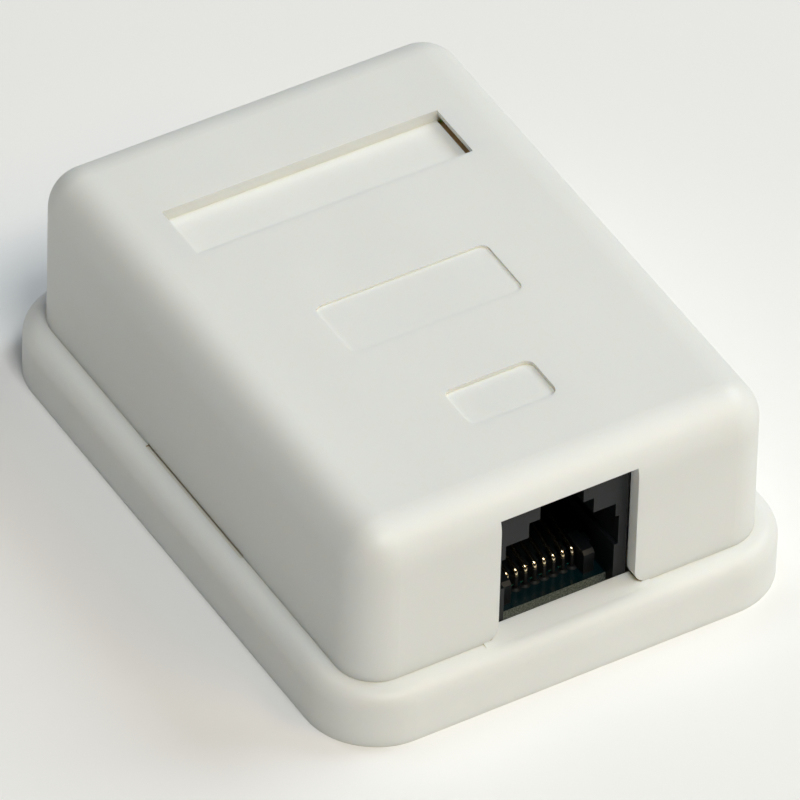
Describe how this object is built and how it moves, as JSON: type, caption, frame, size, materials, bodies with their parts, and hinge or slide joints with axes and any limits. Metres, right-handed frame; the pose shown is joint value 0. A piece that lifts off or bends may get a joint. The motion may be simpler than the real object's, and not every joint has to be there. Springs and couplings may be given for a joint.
{
  "type": "surface mount jack box",
  "caption": "Surface mount box with one modular socket: lift-off cover, base tray, circuit board with punch-down blocks and sprung contacts.",
  "frame": {"origin": "middle of the underside, on the wall face", "axes": "+X along the socket face to the right as seen from behind the socket, -Y out of the socket, +Z away from the wall"},
  "size_m": [0.05, 0.0664, 0.0241],
  "materials": {
    "white_plastic": "fine satin moulded ABS",
    "black_plastic": "satin moulded PBT",
    "block_plastic": "satin moulded polycarbonate",
    "board_laminate": "solder mask over glass-epoxy laminate",
    "contact_gold": "gold-plated phosphor bronze",
    "tinned_bronze": "tinned phosphor bronze",
    "plated_steel": "bright zinc plate"
  },
  "bodies": {
    "base": {"base": "white_plastic", "circuit_board": "board_laminate", "jack_housing": "black_plastic", "contact_carrier": "black_plastic", "punch_block_left": "block_plastic", "punch_block_right": "block_plastic", "board_screw_front": "plated_steel", "board_screw_rear": "plated_steel", "wire_fork_left_1": "tinned_bronze", "wire_fork_left_2": "tinned_bronze", "wire_fork_left_3": "tinned_bronze", "wire_fork_left_4": "tinned_bronze", "wire_fork_right_1": "tinned_bronze", "wire_fork_right_2": "tinned_bronze", "wire_fork_right_3": "tinned_bronze", "wire_fork_right_4": "tinned_bronze"},
    "cover": {"cover": "white_plastic"},
    "contact_1": {"jack_contact_1": "contact_gold"},
    "contact_2": {"jack_contact_2": "contact_gold"},
    "contact_3": {"jack_contact_3": "contact_gold"},
    "contact_4": {"jack_contact_4": "contact_gold"},
    "contact_5": {"jack_contact_5": "contact_gold"},
    "contact_6": {"jack_contact_6": "contact_gold"},
    "contact_7": {"jack_contact_7": "contact_gold"},
    "contact_8": {"jack_contact_8": "contact_gold"}
  },
  "joints": [
    {"name": "cover_lift", "type": "slide", "parent": "base", "child": "cover", "axis": [0, 0, 1], "range_m": [0, 0.03]},
    {"name": "contact_flex_1", "type": "hinge", "parent": "base", "child": "contact_1", "pos_m": [-0.00356, -0.0258, 0.0054], "axis": [1, 0, 0], "range_deg": [-4, 0], "stiffness_Nm_per_rad": 0.05},
    {"name": "contact_flex_2", "type": "hinge", "parent": "base", "child": "contact_2", "pos_m": [-0.00254, -0.0258, 0.0054], "axis": [1, 0, 0], "range_deg": [-4, 0], "stiffness_Nm_per_rad": 0.05},
    {"name": "contact_flex_3", "type": "hinge", "parent": "base", "child": "contact_3", "pos_m": [-0.00152, -0.0258, 0.0054], "axis": [1, 0, 0], "range_deg": [-4, 0], "stiffness_Nm_per_rad": 0.05},
    {"name": "contact_flex_4", "type": "hinge", "parent": "base", "child": "contact_4", "pos_m": [-0.00051, -0.0258, 0.0054], "axis": [1, 0, 0], "range_deg": [-4, 0], "stiffness_Nm_per_rad": 0.05},
    {"name": "contact_flex_5", "type": "hinge", "parent": "base", "child": "contact_5", "pos_m": [0.00051, -0.0258, 0.0054], "axis": [1, 0, 0], "range_deg": [-4, 0], "stiffness_Nm_per_rad": 0.05},
    {"name": "contact_flex_6", "type": "hinge", "parent": "base", "child": "contact_6", "pos_m": [0.00152, -0.0258, 0.0054], "axis": [1, 0, 0], "range_deg": [-4, 0], "stiffness_Nm_per_rad": 0.05},
    {"name": "contact_flex_7", "type": "hinge", "parent": "base", "child": "contact_7", "pos_m": [0.00254, -0.0258, 0.0054], "axis": [1, 0, 0], "range_deg": [-4, 0], "stiffness_Nm_per_rad": 0.05},
    {"name": "contact_flex_8", "type": "hinge", "parent": "base", "child": "contact_8", "pos_m": [0.00356, -0.0258, 0.0054], "axis": [1, 0, 0], "range_deg": [-4, 0], "stiffness_Nm_per_rad": 0.05}
  ]
}
